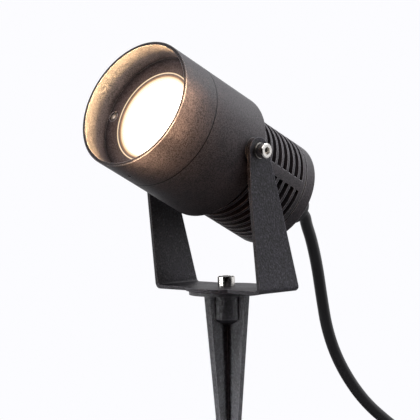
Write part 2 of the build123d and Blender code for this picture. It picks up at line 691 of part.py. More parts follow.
def cord_coil():
    """Put-away cord in two layers of loops, one unbroken tube."""
    edges, _, _ = coil_path()
    path = Wire(edges)
    first = edges[0]
    section = RegularPolygon(CORD_R, COIL_SIDES)
    tube = sweep(Plane(origin=first @ 0, z_dir=first % 0) * section, path)
    step = 2.0
    count = int(path.length / step)
    samples = [path @ (k / count) for k in range(count + 1)]
    apart = int(3 * CORD_DIA / step)
    least = min(
        (samples[i] - samples[j]).length
        for i in range(len(samples)) for j in range(i + apart, len(samples)))
    print("coil", round(path.length), "mm, least gap to itself", round(least - CORD_DIA, 2))
    return tube


def plug_frame():
    """Plane at the end of the cord, its normal along the plug."""
    _, end, direction = coil_path()
    return Plane(origin=end, x_dir=(-direction.Y, direction.X, 0), z_dir=direction)


def plug_body():
    """Rubber plug with a tapered sleeve."""
    radius = PLUG_DIA / 2
    edge = 0.1 * radius
    face = PLUG_NECK + PLUG_BODY
    body = turned([
        (0, 0), (CORD_R + 1.6, 0), (CORD_R + 3.6, 0.7 * PLUG_NECK), (0.8 * radius, PLUG_NECK - edge),
        (radius, PLUG_NECK + edge), (radius, face - edge), (radius - edge, face), (0, face),
    ])
    return plug_frame() * body


def plug_pins():
    """Two plated pins on the plug's face."""
    face = PLUG_NECK + PLUG_BODY
    radius = PLUG_PIN_DIA / 2
    pin = turned([
        (0, face), (radius, face), (radius, face + PLUG_PIN_LENGTH - 1),
        (radius - 1, face + PLUG_PIN_LENGTH), (0, face + PLUG_PIN_LENGTH),
    ])
    pins = [Pos(side * PLUG_PIN_SPREAD / 2, 0, 0) * pin for side in (-1, 1)]
    return Compound(children=[plug_frame() * each for each in pins])


# ---------------------------------------------------------------------------- the pieces

HEAD_PIECES = {
    "housing": housing(),
    "hood": hood(),
    "glass": glass(),
    "glass_gasket": glass_gasket(),
    "lamp": lamp(),
    "lamp_holder": lamp_holder(),
    "holder_plate": holder_plate(),
    "leads": leads(),
    "rear_gasket": rear_gasket(),
    "rear_cap": rear_cap(),
    "gland_body": gland_body(),
    "gland_locknut": gland_locknut(),
    "gland_nut": gland_nut(),
    "gland_seal": gland_seal(),
    "cord_inside": cord_inside(),
}
for number, screw in enumerate(plate_screws(), 1):
    HEAD_PIECES[f"plate_screw_{number}"] = screw
for number, screw in enumerate(cap_screws(), 1):
    HEAD_PIECES[f"cap_screw_{number}"] = screw
for side, name in ((1, "right"), (-1, "left")):
    HEAD_PIECES[f"pivot_pad_{name}"] = pivot_pad(side)
    HEAD_PIECES[f"pivot_washer_{name}"] = pivot_washer(side)
    HEAD_PIECES[f"pivot_screw_{name}"] = pivot_screw(side)

PIECES = {name: HEAD.location * piece for name, piece in HEAD_PIECES.items()}
PIECES["bracket"] = bracket()
PIECES["base_screw"] = base_screw()
PIECES["ground_spike"] = spike()
PIECES["spike_insert"] = spike_insert()
PIECES["cord_free"] = cord_free()
PIECES["cord_coil"] = cord_coil()
PIECES["plug_body"] = plug_body()
PIECES["plug_pins"] = plug_pins()

for name, piece in PIECES.items():
    piece.label = name
    export_step(piece, f"parts/{name}.step")
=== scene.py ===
"""Garden spike spotlight: finishes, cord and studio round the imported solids."""

import logging
from collections.abc import Sequence
from dataclasses import dataclass, field
from enum import Enum
from math import cos, pi, radians, sin

import bpy
import numpy as np
from mathutils import Matrix, Vector


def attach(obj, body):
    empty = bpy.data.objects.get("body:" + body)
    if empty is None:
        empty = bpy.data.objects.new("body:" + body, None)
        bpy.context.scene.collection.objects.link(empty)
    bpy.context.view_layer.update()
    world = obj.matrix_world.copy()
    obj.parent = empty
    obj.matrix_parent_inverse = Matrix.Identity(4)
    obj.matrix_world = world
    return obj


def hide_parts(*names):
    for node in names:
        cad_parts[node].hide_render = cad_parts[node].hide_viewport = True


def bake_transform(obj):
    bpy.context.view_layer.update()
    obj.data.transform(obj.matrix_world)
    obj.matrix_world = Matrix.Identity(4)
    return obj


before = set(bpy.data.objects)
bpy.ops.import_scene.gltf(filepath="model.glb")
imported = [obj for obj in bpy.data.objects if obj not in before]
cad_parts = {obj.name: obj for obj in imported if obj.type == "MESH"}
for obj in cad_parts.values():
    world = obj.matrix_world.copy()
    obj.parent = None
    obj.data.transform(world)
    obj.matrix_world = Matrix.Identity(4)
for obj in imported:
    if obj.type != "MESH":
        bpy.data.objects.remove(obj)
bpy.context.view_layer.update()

log = logging.getLogger("spotlight")

Tree = bpy.types.NodeTree
Socket = bpy.types.NodeSocket
Colour = tuple[float, float, float, float]

MM = 0.001
TILT = radians(26.0)                               # head's axis above the horizontal at rest
PIVOT = np.array([0.0, -15.0, 83.4]) * MM
FORWARD = np.array([0.0, -cos(TILT), sin(TILT)])   # along the head's axis, out of its mouth
GROUND = -150.0 * MM                               # level of the spike's tip and of the floor
SEAM_MM = 36.5                                     # joint of hood and barrel, before the pivot
WHITE = "fcfcff"                                   # backdrop


# ------------------------------------------------------------------------- node helpers

def linear(code: str) -> Colour:
    """Turn an sRGB hex colour into linear light.

    A share up to 0.04045 is divided by 12.92; a larger one gains 0.055, is divided by 1.055 and
    raised to the power 2.4.

    Args:
        code: Six hex digits.

    Returns:
        Linear red, green, blue and full opacity.
    """
    parts = [int(code[i:i + 2], 16) / 255 for i in (0, 2, 4)]
    lin = [p / 12.92 if p <= 0.04045 else ((p + 0.055) / 1.055) ** 2.4 for p in parts]
    return (lin[0], lin[1], lin[2], 1.0)


def add(tree: Tree, kind: str, links: dict | None = None,
        stops: Sequence[tuple[float, Colour]] = (), **settings: object) -> bpy.types.Node:
    """Add a shader node with its settings and its links.

    Args:
        tree: Tree that gets the node.
        kind: Node type without its ShaderNode prefix.
        links: Input name or index to an output socket, or to a constant value.
        stops: Places and linear colours of a colour ramp, two or more; a new one has two.
        settings: Attributes of the node.

    Returns:
        The new node.
    """
    node = tree.nodes.new("ShaderNode" + kind)
    for name, value in settings.items():
        setattr(node, name, value)
    for name, value in (links or {}).items():
        if isinstance(value, Socket):
            tree.links.new(value, node.inputs[name])
        else:
            node.inputs[name].default_value = value
    for _ in stops[2:]:
        node.color_ramp.elements.new(0.5)
    for number, (place, colour) in enumerate(stops):
        node.color_ramp.elements[number].position = place
        node.color_ramp.elements[number].color = colour
    return node


def new_material(name: str) -> tuple[bpy.types.Material, Tree, bpy.types.Node]:
    """Start a node material.

    Args:
        name: Name of the real material.

    Returns:
        The material, its tree and its shader.
    """
    mat = bpy.data.materials.new(name)
    mat.use_nodes = True
    return mat, mat.node_tree, mat.node_tree.nodes["Principled BSDF"]


def round_the_axis(tree: Tree) -> tuple[Socket, Socket]:
    """Measure a point against the head's axis.

    The distance along the axis is the dot product of the way from the pivot with the axis's
    direction; the distance from the axis is what is left of that way.

    Args:
        tree: Tree that gets the nodes.

    Returns:
        Sockets of the distance along the axis and from it, in metres.
    """
    place = add(tree, "TexCoord").outputs["Object"]
    way = add(tree, "VectorMath", {0: place, 1: tuple(PIVOT)}, operation="SUBTRACT").outputs[0]
    along = add(tree, "VectorMath", {0: way, 1: tuple(FORWARD)},
                operation="DOT_PRODUCT").outputs["Value"]
    foot = add(tree, "VectorMath", {0: tuple(FORWARD), "Scale": along},
               operation="SCALE").outputs[0]
    out = add(tree, "VectorMath", {0: way, 1: foot}, operation="DISTANCE").outputs["Value"]
    return along, out


# ----------------------------------------------------------------------------- finishes

CLOUD_MM = 14.0            # size of the soft patches in every finish
GRAIN_SHARE = 0.75         # of the grain in the tone; the patches give the rest
TONE_SPAN = (0.40, 0.60)   # noise values of the darker and the lighter colour
GLOSS_SPAN = (0.3, 0.7)    # noise values of the smoothest and the roughest place
GLOSS_SWING = 0.05         # roughness to either side of its middle
GLINT_SPAN = (0.34, 0.14)  # distances from a cell's middle, in cells: painted glint's rim and core
EDGE_SPAN = (0.99, 0.90)   # cosines between which a rounded edge gets its painted highlight
OPEN_SPAN = (0.45, 0.92)   # shares of open sky where the painted shade is full and where it is gone
SEAM_EDGE_MM = 0.9         # to either side of a seam its edges get no painted highlight
SEAM_SHADE_MM = 0.38        # to either side of a seam its groove gets the painted shade
# colour of the painted shade in slots, corners and seams
PAINTED_SHADE = "060506"


class Pattern(Enum):
    """How a surface was made; only bare metal mirrors by its own colour."""

    POWDER = "powder"
    MOULDED = "moulded"
    METAL = "metal"
    FIRED = "fired"


@dataclass(frozen=True)
class Finish:
    """One real surface, with the sizes of its texture in millimetres."""

    name: str
    pattern: Pattern
    colour: str
    variation: str             # colour of the grain's hollows
    roughness: float
    grain_mm: float
    bump_mm: float
    ior: float = 1.5
    specular: float = 0.5
    edge_mm: float = 0.0       # radius that rounds an edge for the light
    # colour of the painted highlight on edges
    edge_highlight_colour: str = ""
    painted_shade_mm: float = 0.0    # reach of the painted shade in slots and corners
    seams_mm: tuple = ()       # places along the head's axis, before the pivot
    glint: str = ""            # colour of the painted glints

    def material(self) -> bpy.types.Material:
        """Build the node material once and hand back the same one afterwards.

        Returns:
            The material of this finish.
        """
        known = bpy.data.materials.get(self.name)
        if known is not None:
            return known
        mat, tree, shader = new_material(self.name)
        if self.pattern is Pattern.METAL:
            shader.inputs["Metallic"].default_value = 1.0
        else:
            shader.inputs["IOR"].default_value = self.ior
            shader.inputs["Specular IOR Level"].default_value = self.specular
        place = add(tree, "TexCoord").outputs["Object"]
        grain = add(tree, "TexNoise", {"Vector": place, "Scale": 1 / (self.grain_mm * MM),
                                       "Detail": 2.0, "Roughness": 0.6}).outputs["Fac"]
        cloud = add(tree, "TexNoise", {"Vector": place, "Scale": 1 / (CLOUD_MM * MM),
                                       "Detail": 3.0, "Roughness": 0.6}).outputs["Fac"]
        fine = add(tree, "Math", {0: grain, 1: GRAIN_SHARE}, operation="MULTIPLY").outputs[0]
        both = add(tree, "Math", {0: cloud, 1: 1 - GRAIN_SHARE, 2: fine},
                   operation="MULTIPLY_ADD").outputs[0]
        tone = add(tree, "ValToRGB", {0: both}, [(TONE_SPAN[0], linear(self.variation)),
                                                 (TONE_SPAN[1], linear(self.colour))]).outputs[0]
        # painted glints
        if self.glint:
            tone = self.paint_glints(tree, place, tone)
        rough = add(tree, "MapRange", {"Value": cloud, "From Min": GLOSS_SPAN[0],
                                       "From Max": GLOSS_SPAN[1],
                                       "To Min": self.roughness - GLOSS_SWING,
                                       "To Max": self.roughness + GLOSS_SWING}).outputs[0]
        tree.links.new(rough, shader.inputs["Roughness"])
        bump = add(tree, "Bump", {"Strength": 1.0, "Distance": self.bump_mm * MM,
                                  "Height": grain})
        if self.edge_mm:
            edge = add(tree, "Bevel", {"Radius": self.edge_mm * MM}, samples=6).outputs[0]
            tree.links.new(edge, bump.inputs["Normal"])
            # painted highlight on the edges
            if self.edge_highlight_colour:
                tone = self.paint_edge_highlights(tree, edge, tone)
        # painted shade in slots, corners and at the seams
        if self.painted_shade_mm:
            tone = self.paint_crevice_shade(tree, tone)
        tree.links.new(tone, shader.inputs["Base Color"])
        tree.links.new(bump.outputs[0], shader.inputs["Normal"])
        return mat

    def paint_glints(self, tree: Tree, place: Socket, tone: Socket) -> Socket:
        """Scatter small painted glints, one in a cell of two grains, on the base colour.

        Args:
            tree: Tree that gets the nodes.
            place: Socket of the point.
            tone: Socket of the colour so far.

        Returns:
            Socket of the colour with specks.
        """
        cell = add(tree, "TexVoronoi", {"Vector": place, "Scale": 0.5 / (self.grain_mm * MM)})
        near = add(tree, "MapRange", {"Value": cell.outputs["Distance"],
                                      "From Min": GLINT_SPAN[0], "From Max": GLINT_SPAN[1]})
        return add(tree, "Mix", {0: near.outputs[0], 6: tone, 7: linear(self.glint)},
                   data_type="RGBA").outputs[2]

    def away_from_seams(self, tree: Tree, share: Socket, half_mm: float) -> Socket:
        """Bring a share to zero in a band at each seam.

        Args:
            tree: Tree that gets the nodes.
            share: Socket of the share.
            half_mm: Half the band's width.

        Returns:
            Socket of the share outside the bands.
        """
        for seam in self.seams_mm:
            along = round_the_axis(tree)[0]
            band = add(tree, "Math", {0: along, 1: seam * MM, 2: half_mm * MM},
                       operation="COMPARE").outputs[0]
            share = add(tree, "Math", {0: share, 1: band}, operation="SUBTRACT",
                        use_clamp=True).outputs[0]
        return share

    def paint_edge_highlights(self, tree: Tree, rounded: Socket, tone: Socket) -> Socket:
        """Paint highlights on the edges outside the seams.

        An edge is where the dot product of the rounded normal with the face's own falls
        below one.

        Args:
            tree: Tree that gets the nodes.
            rounded: Socket of the rounded normal.
            tone: Socket of the colour so far.

        Returns:
            Socket of the colour with light edges.
        """
        face = add(tree, "NewGeometry").outputs["Normal"]
        lean = add(tree, "VectorMath", {0: rounded, 1: face}, operation="DOT_PRODUCT")
        highlight_share = add(tree, "MapRange", {"Value": lean.outputs["Value"],
                                      "From Min": EDGE_SPAN[0], "From Max": EDGE_SPAN[1]})
        highlight_share = self.away_from_seams(tree, highlight_share.outputs[0], SEAM_EDGE_MM)
        return add(tree, "Mix", {0: highlight_share, 6: tone, 7: linear(self.edge_highlight_colour)},
                   data_type="RGBA").outputs[2]

    def paint_crevice_shade(self, tree: Tree, tone: Socket) -> Socket:
        """Paint shade into slots, corners and seams: the less open sky a point has, the nearer its
        colour is to the painted shade's.

        Args:
            tree: Tree that gets the nodes.
            tone: Socket of the colour so far.

        Returns:
            Socket of the colour with dark crevices.
        """
        sky = add(tree, "AmbientOcclusion", {"Distance": self.painted_shade_mm * MM}, samples=8)
        bare = add(tree, "MapRange", {"Value": sky.outputs["AO"],
                                      "From Min": OPEN_SPAN[0], "From Max": OPEN_SPAN[1]})
        bare = self.away_from_seams(tree, bare.outputs[0], SEAM_SHADE_MM)
        return add(tree, "Mix", {0: bare, 6: linear(PAINTED_SHADE), 7: tone},
                   data_type="RGBA").outputs[2]


# polyester powder coat on die-cast aluminium: dry and dark, with fine sparkling grain, which is
# drawn coarser than it is so that it shows, painted highlights on its edges and painted shade in
# its slots and seam
POWDER = Finish("powder_coat_die_cast", Pattern.POWDER, "4b4549", "1a1719", 0.5, 0.75, 0.16,
                specular=0.36, edge_mm=0.4, edge_highlight_colour="d8d5dc", painted_shade_mm=3.0,
                seams_mm=(SEAM_MM,))
# the same coat on folded sheet: a little coarser and bluer, with painted highlights on its edges,
# painted glints and painted shade in its corners
SHEET_COAT = Finish("powder_coat_sheet_steel", Pattern.POWDER, "36343c", "0c0b0e", 0.5, 1.1,
                    0.36, specular=0.32, edge_mm=0.45, edge_highlight_colour="85838c", glint="4a4850",
                    painted_shade_mm=4.0)
# cold-formed stainless steel: bright, with dark and white bands round the screw heads
STAINLESS = Finish("stainless_steel_a2", Pattern.METAL, "e4e1dc", "c4c0ba", 0.18, 0.8, 0.003,
                   edge_mm=0.12)
# shot-blasted stainless steel of washers and plate screws: spreads the light to a soft grey
BLASTED = Finish("stainless_steel_blasted", Pattern.METAL, "dad6d0", "b8b4ae", 0.30, 0.6, 0.02,
                 edge_mm=0.12)
# glass-filled nylon moulding: near black and satin, with a mottled skin, painted glints and
# painted highlights on its edges
SPIKE_NYLON = Finish("glass_filled_nylon", Pattern.MOULDED, "2c2b30", "020203", 0.40, 1.3,
                     0.55, specular=0.42, edge_mm=0.4, edge_highlight_colour="6c6b72", glint="38373c")
# chloroprene rubber: an even dull black sheath with one soft line of light along it
SHEATH = Finish("chloroprene_sheath", Pattern.MOULDED, "151416", "0d0c0e", 0.40, 0.6, 0.012,
                specular=0.32)
# injection-moulded polyamide: smooth dark grey of the gland and the pivot's discs
POLYAMIDE = Finish("polyamide_66", Pattern.MOULDED, "1c1c1e", "131315", 0.4, 0.8, 0.01,
                   edge_mm=0.3)
# pressed silicone: a milky grey line where a seal shows
SILICONE = Finish("silicone_60_shore", Pattern.MOULDED, "8d8a86", "7c7975", 0.5, 1.0, 0.005)
# steatite: the chalky off-white of the lamp holder
STEATITE = Finish("steatite_ceramic", Pattern.FIRED, "d8d3c8", "c6c0b4", 0.6, 0.6, 0.01)
# nickel plate on brass: pins that mirror with a warm tint
NICKEL = Finish("nickel_plated_brass", Pattern.METAL, "cfc8b8", "b8b1a2", 0.2, 0.9, 0.003,
                edge_mm=0.2)
# free-cutting brass: the insert's dull yellow
BRASS = Finish("brass_turned", Pattern.METAL, "b8923f", "9c7a33", 0.3, 0.7, 0.004)

NODE_FINISH = {
    "housing": POWDER, "rear_cap": POWDER, "bracket": SHEET_COAT,
    "ground_spike": SPIKE_NYLON, "spike_insert": BRASS, "base_screw": STAINLESS,
    "plug_body": SHEATH, "plug_pins": NICKEL, "cord_inside": SHEATH, "gland_seal": SHEATH,
    "gland_body": POLYAMIDE, "gland_locknut": POLYAMIDE, "gland_nut": POLYAMIDE,
    "glass_gasket": SILICONE, "rear_gasket": SILICONE, "lamp_holder": STEATITE,
    "holder_plate": STAINLESS, "leads": SILICONE,
}


@dataclass(frozen=True)
class LitGlass:
    """Lit pressed glass: white in the middle, falling to gold at its edge."""

    radius: float              # of the bright disc, in metres
    base: str = "e8dfcc"
    roughness: float = 0.15
    glow: float = 9.0          # emission in the middle
    # share of the disc's radius, and the light's colour or its share of the glow there
    colours: tuple = ((0.0, "fff6e6"), (0.86, "fff0d8"), (0.95, "ffe9c8"), (1.0, "ffdfb0"))
    strengths: tuple = ((0.0, 1.0), (0.85, 0.8), (0.97, 0.2), (1.0, 0.13))

    def material(self) -> bpy.types.Material:
        """Build the node material.

        Returns:
            The emissive material.
        """
        mat, tree, shader = new_material("pressed_glass_lit")
        share = add(tree, "Math", {0: round_the_axis(tree)[1], 1: self.radius},
                    operation="DIVIDE").outputs[0]
        tone = add(tree, "ValToRGB", {0: share},
                   [(place, linear(code)) for place, code in self.colours]).outputs[0]
        fall = add(tree, "ValToRGB", {0: share},
                   [(place, (grey, grey, grey, 1.0)) for place, grey in self.strengths])
        strength = add(tree, "Math", {0: fall.outputs[0], 1: self.glow}, operation="MULTIPLY")
        shader.inputs["Base Color"].default_value = linear(self.base)
        shader.inputs["Roughness"].default_value = self.roughness
        tree.links.new(tone, shader.inputs["Emission Color"])
        tree.links.new(strength.outputs[0], shader.inputs["Emission Strength"])
        return mat


@dataclass(frozen=True)
class LitBevel:
    """The hood's powder coat, with the lamp's light on the bevel round the glass painted on as
    emission.

    The light falls from the glass's edge over the bevel, comes back as a thin line on the
    bevel's outer edge and dies away on the plate within a quarter of the bevel's radius.
    """

    inner: float               # radius of the window, in metres
    outer: float               # radius of the bevel's outer edge, in metres
    depth: float               # window's back edge along the head's axis, in metres
    fade: float = 1.25         # the light has died away at this many times the outer radius
    # share of the bevel's width, and the colour of the painted light there
    colours: tuple = ((0.0, "fff6e4"), (0.30, "ffe2b0"), (0.48, "a87440"), (0.66, "54391f"),
                      (0.84, "543a20"), (0.91, "ffe8c4"), (1.03, "f0cf9c"), (1.09, "35261a"))

    def material(self) -> bpy.types.Material:
        """Build the node material on a copy of the powder coat's.

        Returns:
            The material of the hood.
        """
        mat = POWDER.material().copy()
        mat.name = "powder_coat_lit_bevel"
        tree = mat.node_tree
        shader = tree.nodes["Principled BSDF"]
        along, out = round_the_axis(tree)
        span = self.fade * self.outer - self.inner
        end = self.inner + span
        share = add(tree, "MapRange", {"Value": out, "From Min": self.inner, "From Max": end})
        edge = (self.outer - self.inner) / span
        stops = [(place * edge, linear(code)) for place, code in self.colours]
        tone = add(tree, "ValToRGB", {0: share.outputs[0]},
                   stops + [(1.0, linear("000000"))]).outputs[0]
        front = add(tree, "Math", {0: along, 1: self.depth},
                    operation="GREATER_THAN").outputs[0]
        inside = add(tree, "Math", {0: out, 1: end}, operation="LESS_THAN").outputs[0]
        both = add(tree, "Math", {0: front, 1: inside}, operation="MULTIPLY").outputs[0]
        # painted light: the hood's bevel glows by emission
        tree.links.new(tone, shader.inputs["Emission Color"])
        tree.links.new(both, shader.inputs["Emission Strength"])
        return mat


def dress(node: str, material: bpy.types.Material) -> None:
    """Give a solid of the frame its finish.

    Args:
        node: Name of the solid.
        material: Material that it gets.
    """
    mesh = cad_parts[node].data
    mesh.materials.clear()
    mesh.materials.append(material)
    log.info("%s: %s", node, material.name)


# ------------------------------------------------------------------- mesh pieces and lamps

def mesh_piece(name: str, points: np.ndarray, faces: np.ndarray,
               ends: list[list[int]]) -> bpy.types.Object:
    """Make an object at the origin from points and four-sided faces.

    Args:
        name: Name of the piece.
        points: Array of corners, N by 3, in metres.
        faces: Array of corner numbers, M by 4.
        ends: Closing faces with any number of corners.

    Returns:
        The linked object.
    """
    mesh = bpy.data.meshes.new(name)
    mesh.from_pydata(points.tolist(), [], faces.tolist() + ends)
    mesh.polygons.foreach_set("use_smooth", np.ones(len(mesh.polygons), bool))
    mesh.update()
    piece = bpy.data.objects.new(name, mesh)
    bpy.context.scene.collection.objects.link(piece)
    log.info("%s: %d points, %d faces", name, len(mesh.vertices), len(mesh.polygons))
    return piece


def grid_faces(rows: int, columns: int) -> np.ndarray:
    """Faces between rings of points, each ring closed on itself.

    Args:
        rows: Number of rings.
        columns: Points in each ring.

    Returns:
        Corner numbers, four to a face.
    """
    r = np.arange(rows - 1)[:, None]
    c = np.arange(columns)[None, :]
    side = (c + 1) % columns
    corners = (r * columns + c, r * columns + side,
               (r + 1) * columns + side, (r + 1) * columns + c)
    return np.stack(np.broadcast_arrays(*corners), -1).reshape(-1, 4)


def area_lamp(name: str, place: Sequence[float], way: Sequence[float], size: float,
              watts: float, colour: tuple) -> bpy.types.Object:
    """Add one soft square lamp that the camera doesn't see.

    Args:
        name: Name of the lamp.
        place: Its middle in metres.
        way: Direction that it faces.
        size: Side in metres.
        watts: Power.
        colour: Linear colour.

    Returns:
        The lamp's object.
    """
    light = bpy.data.lights.new(name, "AREA")
    light.size = size
    light.energy = watts
    light.color = colour
    lamp = bpy.data.objects.new(name, light)
    lamp.visible_camera = False
    turn = Vector(way).to_track_quat("-Z", "Y").to_matrix().to_4x4()
    lamp.matrix_world = Matrix.Translation(Vector(place)) @ turn
    bpy.context.scene.collection.objects.link(lamp)
    return lamp


@dataclass
class Cord:
    """Rubber cord from the gland to the plug, one smooth line, sizes in millimetres."""

    diameter: float = 7.3
    straight: float = 6.4          # straight out of the gland before it bends
    gland_end: float = -86.7       # gland's end along the head's axis
    first_loop: float = 46.0       # radius at the middle of the outer turn
    loop_gap: float = 0.7          # between loops and between the two layers
    turns_in: float = 2.5
    turns_out: float = 2.75
    sink_turns: float = 0.5        # turns in which the cord sinks to the lower layer
    plug_lead: float = 60.0        # coil to plug
    plug_level: float = 0.3        # share of that lead that lies level at each end
    plug_radius: float = 18.5
    sides: int = 24
    per_turn: int = 16             # control points in a turn
    line_steps: int = 10           # points to a span of the smooth line
    shortest_step: float = 0.2     # points of the line that are nearer to each other are one
    # control points: leftward, backward, and the share of the drop to the upper layer
    route: list = field(default_factory=lambda: [
        (3.0, 10.6, 0.050), (6.0, 18.4, 0.103), (11.2, 29.2, 0.197), (15.1, 36.9, 0.292),
        (17.4, 44.6, 0.422), (18.2, 57.4, 0.547), (18.6, 78.7, 0.675), (18.3, 104.4, 0.774),
        (18.2, 127.1, 0.845), (18.1, 150.9, 0.904), (31.3, 169.9, 0.948), (53.9, 178.0, 0.979),
        (78.9, 171.0, 1.0), (93.7, 152.4, 1.0)])

    def exit(self) -> np.ndarray:
        """Give the point in metres where the cord leaves the gland."""
        return PIVOT + FORWARD * self.gland_end * MM

    def free_points(self) -> np.ndarray:
        """Lay the control points of the free cord.

        Returns:
            Control points in metres.
        """
        start = self.exit()
        layer = (self.diameter + self.loop_gap) * MM
        drop = start[2] - GROUND - self.diameter / 2 * MM - layer
        steps = np.array([(-a * MM, b * MM, -s * drop) for a, b, s in self.route])
        return np.vstack([start, start - FORWARD * self.straight * MM, start + steps])

    def coil_points(self, entry: np.ndarray, heading: np.ndarray) -> np.ndarray:
        """Lay the control points of the two-layer coil and the lead to the plug.

        The radius falls by one pitch a turn to the middle turn and grows again after it. The
        height falls by one pitch about the middle turn, as the smooth step of three squares
        less two cubes. The smooth line runs inside its control points, at three quarters of
        their radius and a quarter of it times the cosine of one step, so they stand outside
        the loops by the inverse of that.

        Args:
            entry: Last control point of the free cord.
            heading: Level unit direction of the cord there.

        Returns:
            Control points in metres, the last one at the plug.
        """
        pitch = (self.diameter + self.loop_gap) * MM
        first = self.first_loop * MM
        lean = np.arctan2(pitch / (2 * pi), first)
        angle0 = np.arctan2(heading[1], heading[0]) - pi / 2 - lean
        start = entry + heading * self.diameter * MM
        centre = start - np.array([cos(angle0), sin(angle0), 0.0]) * first
        turn = np.arange(0, (self.turns_in + self.turns_out) * self.per_turn + 1) / self.per_turn
        radius = first - pitch * self.turns_in + pitch * np.abs(turn - self.turns_in)
        sunk = np.clip((turn - self.turns_in + self.sink_turns / 2) / self.sink_turns, 0, 1)
        height = -pitch * sunk ** 2 * (3 - 2 * sunk)
        angle = angle0 + 2 * pi * turn
        outward = np.stack([np.cos(angle), np.sin(angle), 0 * angle], -1)
        outside = 1 / (0.75 + 0.25 * cos(2 * pi / self.per_turn))
        loops = centre + outward * (radius * outside)[:, None]
        loops[:, 2] += height
        end = centre + outward[-1] * radius[-1] + np.array([0, 0, height[-1]])
        onward = np.array([-outward[-1, 1], outward[-1, 0], 0.0])
        out = onward * radius[-1] + outward[-1] * pitch / (2 * pi)
        out /= np.linalg.norm(out)
        raised = end + out * (self.plug_lead - self.diameter) * MM
        raised[2] = GROUND + self.plug_radius * MM
        level = np.array([out[0], out[1], 0.0]) * self.plug_level * self.plug_lead * MM
        loops[-1] = end
        return np.vstack([loops, end + level, raised - level, raised,
                          raised + out * self.diameter * MM])

    def line(self) -> np.ndarray:
        """Read the points of the smooth line from one open NURBS spline.

        Returns:
            Points in metres, from the gland to the plug.
        """
        free = self.free_points()
        heading = (free[-1] - free[-2]) / np.linalg.norm(free[-1] - free[-2])
        route = np.vstack([free, self.coil_points(free[-1], heading)])
        curve = bpy.data.curves.new("cord_line", "CURVE")
        curve.dimensions = "3D"
        spline = curve.splines.new("NURBS")
        spline.points.add(len(route) - 1)
        flat = np.hstack([route, np.ones((len(route), 1))]).ravel()
        spline.points.foreach_set("co", flat)
        spline.order_u = 3
        spline.use_endpoint_u = True
        spline.resolution_u = self.line_steps
        holder = bpy.data.objects.new("cord_line", curve)
        bpy.context.scene.collection.objects.link(holder)
        bpy.context.view_layer.update()
        mesh = bpy.data.meshes.new_from_object(holder)
        points = np.zeros(len(mesh.vertices) * 3)
        mesh.vertices.foreach_get("co", points)
        bpy.data.objects.remove(holder)
        bpy.data.curves.remove(curve)
        bpy.data.meshes.remove(mesh)
        points = points.reshape(-1, 3)
        steps = np.linalg.norm(np.diff(points, axis=0), axis=1)
        return points[np.r_[True, steps > self.shortest_step * MM]]

    def tube(self, line: np.ndarray) -> bpy.types.Object:
        """Make a round tube along the line, with twist-free rings and closed ends.

        Each ring is a circle across the line; its first spoke is carried from ring to ring by
        the smallest turn, so the sheath doesn't twist. In the faces that close a ring the far
        side's map is a whole turn, so that it doesn't run backwards there.

        Args:
            line: Points along the middle of the cord.

        Returns:
            The tube, with its own map: round the cord and along it in metres.
        """
        along = np.gradient(line, axis=0)
        along /= np.linalg.norm(along, axis=1)[:, None]
        spokes = np.zeros_like(line)
        spoke = np.cross(along[0], [1.0, 0.0, 0.0])
        for number, direction in enumerate(along):
            spoke = spoke - direction * np.dot(spoke, direction)
            spoke /= np.linalg.norm(spoke)
            spokes[number] = spoke
        third = np.cross(along, spokes)
        angle = np.linspace(0, 2 * pi, self.sides, endpoint=False)
        radius = self.diameter / 2 * MM
        rings = line[:, None] + radius * (np.cos(angle)[None, :, None] * spokes[:, None]
                                          + np.sin(angle)[None, :, None] * third[:, None])
        count = len(line)
        first = list(range(self.sides))[::-1]
        last = list(range((count - 1) * self.sides, count * self.sides))
        piece = mesh_piece("rubber_cord", rings.reshape(-1, 3), grid_faces(count, self.sides),
                           [first, last])
        mesh = piece.data
        distance = np.r_[0, np.cumsum(np.linalg.norm(np.diff(line, axis=0), axis=1))]
        corner = np.zeros(len(mesh.loops), int)
        mesh.loops.foreach_get("vertex_index", corner)
        column = corner % self.sides
        turn = np.arange(len(corner)) % 4
        far_side = (turn == 1) | (turn == 2)
        column = np.where(far_side & (column == 0), self.sides, column)
        uv = np.stack([column / self.sides, distance[corner // self.sides]], -1)
        layer = mesh.uv_layers.new(name="sheath")
        layer.data.foreach_set("uv", uv.ravel())
        return piece

    def build(self) -> None:
        """Make the tube along the smooth line, give it the sheath, hide the imported cord solids
        and bake the tube's placement into its mesh.
        """
        line = self.line()
        piece = self.tube(line)
        piece.data.materials.append(SHEATH.material())
        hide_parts("cord_free", "cord_coil")
        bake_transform(piece)


